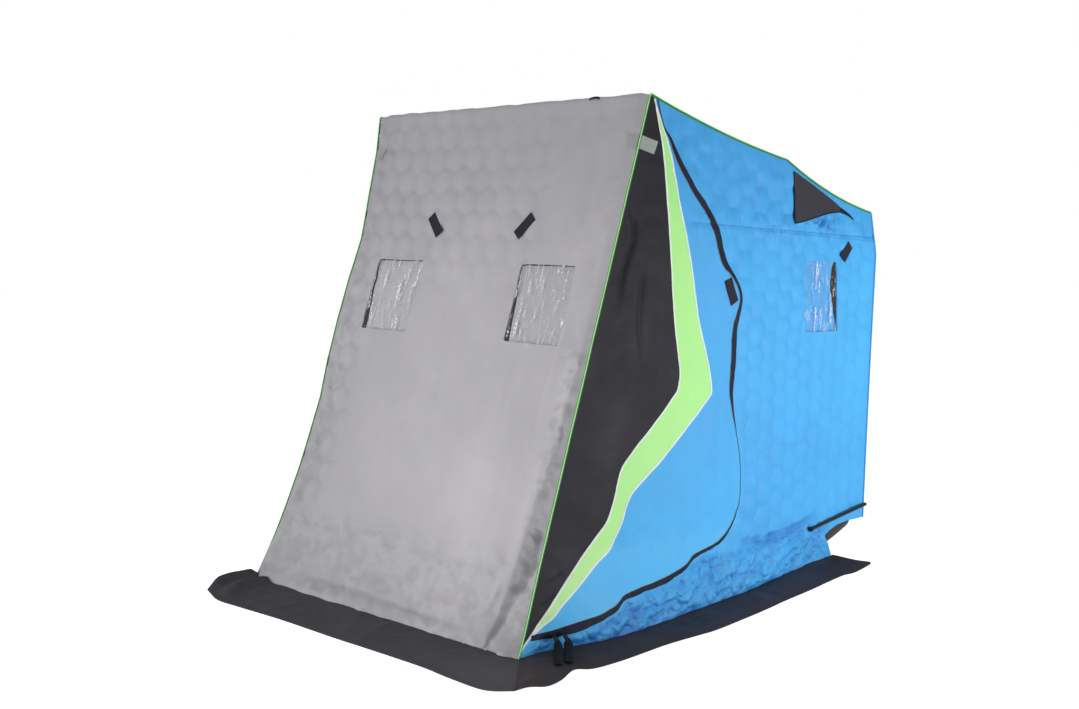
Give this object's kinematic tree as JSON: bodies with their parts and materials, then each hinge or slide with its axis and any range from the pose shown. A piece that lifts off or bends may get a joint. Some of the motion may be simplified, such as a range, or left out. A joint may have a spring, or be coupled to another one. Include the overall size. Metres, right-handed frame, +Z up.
{
  "type": "ice fishing hut",
  "caption": "Flip-over ice fishing shelter: insulated fabric walls on a folding pole frame that pivots on a tow sled, with zippered side doors and ground skirts.",
  "frame": {"origin": "on the ice, at the centre of the footprint of the hut with its skirts", "axes": "+Z up, +Y from the leaning front wall to the sled at the rear, +X to the right seen from the front"},
  "size_m": [1.94, 2.7128, 1.965],
  "materials": {
    "grey_fabric": "quilted woven polyester",
    "blue_fabric": "woven polyester, slight sheen",
    "green_fabric": "woven polyester, slight sheen",
    "black_fabric": "woven polyester, matte",
    "black_webbing": "webbing and zipper tape",
    "reflective_tape": "grey reflective tape",
    "clear_vinyl": "clear vinyl",
    "sled_plastic": "glossy moulded polyethylene",
    "runner_plastic": "extruded wear strip",
    "pole_steel": "square-shouldered tube, satin",
    "black_steel": "black powder coat"
  },
  "bodies": {
    "hut": {"front_wall": "grey_fabric", "roof_front": "blue_fabric", "roof_rear": "blue_fabric", "back_wall_upper": "blue_fabric", "back_wall": "blue_fabric", "side_upper_right": "blue_fabric", "side_upper_left": "blue_fabric", "side_front_right": "black_fabric", "side_front_left": "black_fabric", "side_bottom_right": "blue_fabric", "side_bottom_left": "blue_fabric", "side_rear_right": "blue_fabric", "side_rear_left": "blue_fabric", "front_windows": "clear_vinyl", "front_window_covers": "grey_fabric", "side_windows": "clear_vinyl", "side_window_covers": "blue_fabric", "skirt_front": "black_fabric", "skirt_left": "black_fabric", "skirt_right": "black_fabric", "sled_hull": "sled_plastic", "sled_runners": "runner_plastic", "pivot_brackets": "black_steel", "ground_bar": "pole_steel", "ground_poles": "pole_steel", "peak_bar": "pole_steel", "peak_poles": "pole_steel", "roof_bar": "grey_fabric", "roof_poles": "grey_fabric", "rear_bar": "pole_steel", "rear_poles": "pole_steel", "side_rails": "black_steel", "hinge_welts": "black_webbing", "zipper_tapes": "black_webbing", "vent_hoods": "black_fabric", "window_tabs": "black_webbing", "reflective_tabs": "reflective_tape", "ridge_loop": "black_webbing"},
    "door_right": {"door_black_right": "black_fabric", "door_green_right": "green_fabric", "door_blue_right": "blue_fabric", "door_trim_right": "black_webbing"},
    "door_left": {"door_black_left": "black_fabric", "door_green_left": "green_fabric", "door_blue_left": "blue_fabric", "door_trim_left": "black_webbing"}
  },
  "joints": [
    {"name": "door_right_hinge", "type": "hinge", "parent": "hut", "child": "door_right", "pos_m": [0.74, -0.69388, 0.965], "axis": [0, -0.3008, -0.9537], "range_deg": [0, 115]},
    {"name": "door_left_hinge", "type": "hinge", "parent": "hut", "child": "door_left", "pos_m": [-0.74, -0.69388, 0.965], "axis": [0, 0.3008, 0.9537], "range_deg": [0, 115]}
  ]
}
